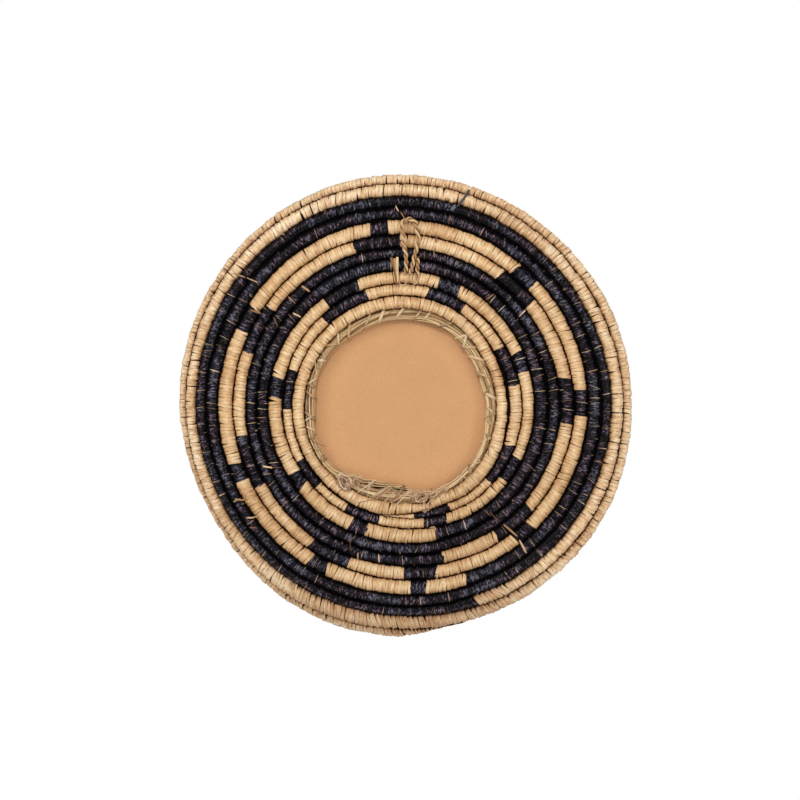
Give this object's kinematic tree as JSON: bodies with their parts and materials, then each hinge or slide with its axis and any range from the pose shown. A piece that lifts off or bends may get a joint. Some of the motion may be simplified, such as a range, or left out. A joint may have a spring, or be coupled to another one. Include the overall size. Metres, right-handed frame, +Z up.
{
  "type": "wall mirror",
  "caption": "Round wall mirror in a coiled raffia frame with a dark and natural checked pattern, a fibreboard back and a twisted raffia hanging loop.",
  "frame": {"origin": "where a nail or pin carries the hanging loop, inside the loop's top bend", "axes": "+Z up; the glass looks along -Y; +Y points into the wall; X runs across the width"},
  "size_m": [0.3057, 0.0259, 0.3092],
  "materials": {
    "raffia_natural": "matte natural raffia",
    "raffia_dyed": "soft sheen, black-brown dyed raffia",
    "raffia_border": "matte natural raffia",
    "raw_grass": "dry unwrapped grass stems",
    "raffia_cord": "twisted raffia cord",
    "fibreboard": "bare smooth fibreboard",
    "mirror_glass": "silvered glass"
  },
  "bodies": {
    "root": {"woven_coil": "raffia_natural", "grass_ring": "raw_grass", "border_coil": "raffia_border", "backing_board": "fibreboard", "mirror_glass": "mirror_glass", "hanging_loop": "raffia_cord"}
  },
  "joints": []
}
